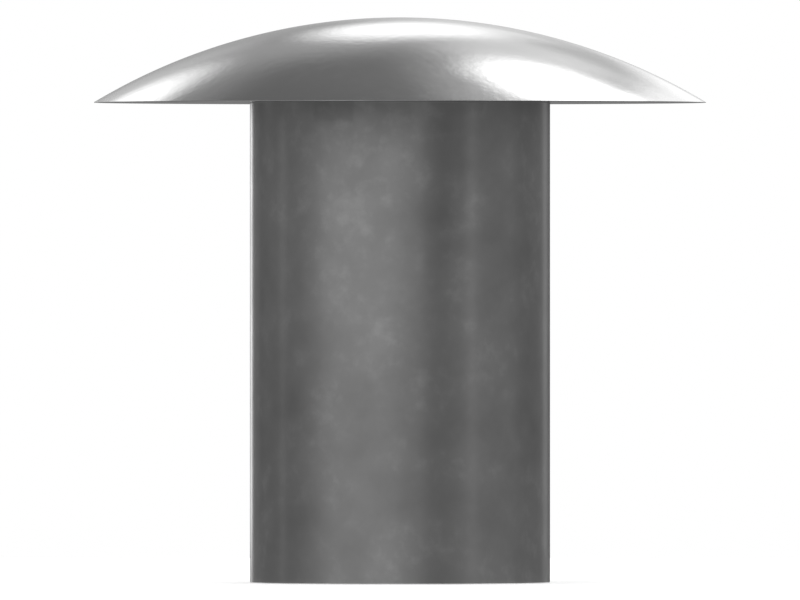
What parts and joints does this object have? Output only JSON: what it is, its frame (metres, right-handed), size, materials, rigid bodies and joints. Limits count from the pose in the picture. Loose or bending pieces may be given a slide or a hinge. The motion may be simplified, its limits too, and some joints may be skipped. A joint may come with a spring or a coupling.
{
  "type": "hollow rivet",
  "caption": "Domed mushroom-head metal rivet with a straight cylindrical shank, hollow from the tail by a blind axial hole, for clinching thin sheet, lining or leather.",
  "frame": {"origin": "on the rivet's axis, in the plane of the head's seating face", "axes": "+Z along the axis towards the domed head; the shank hangs along -Z. The rivet is round, so X and Y are free"},
  "size_m": [0.0102, 0.0102, 0.0094],
  "materials": {
    "steel": "bright drawn and cold-headed steel, satin sheen, uncoated or thinly plated"
  },
  "bodies": {
    "root": {"rivet_body": "steel"}
  },
  "joints": []
}
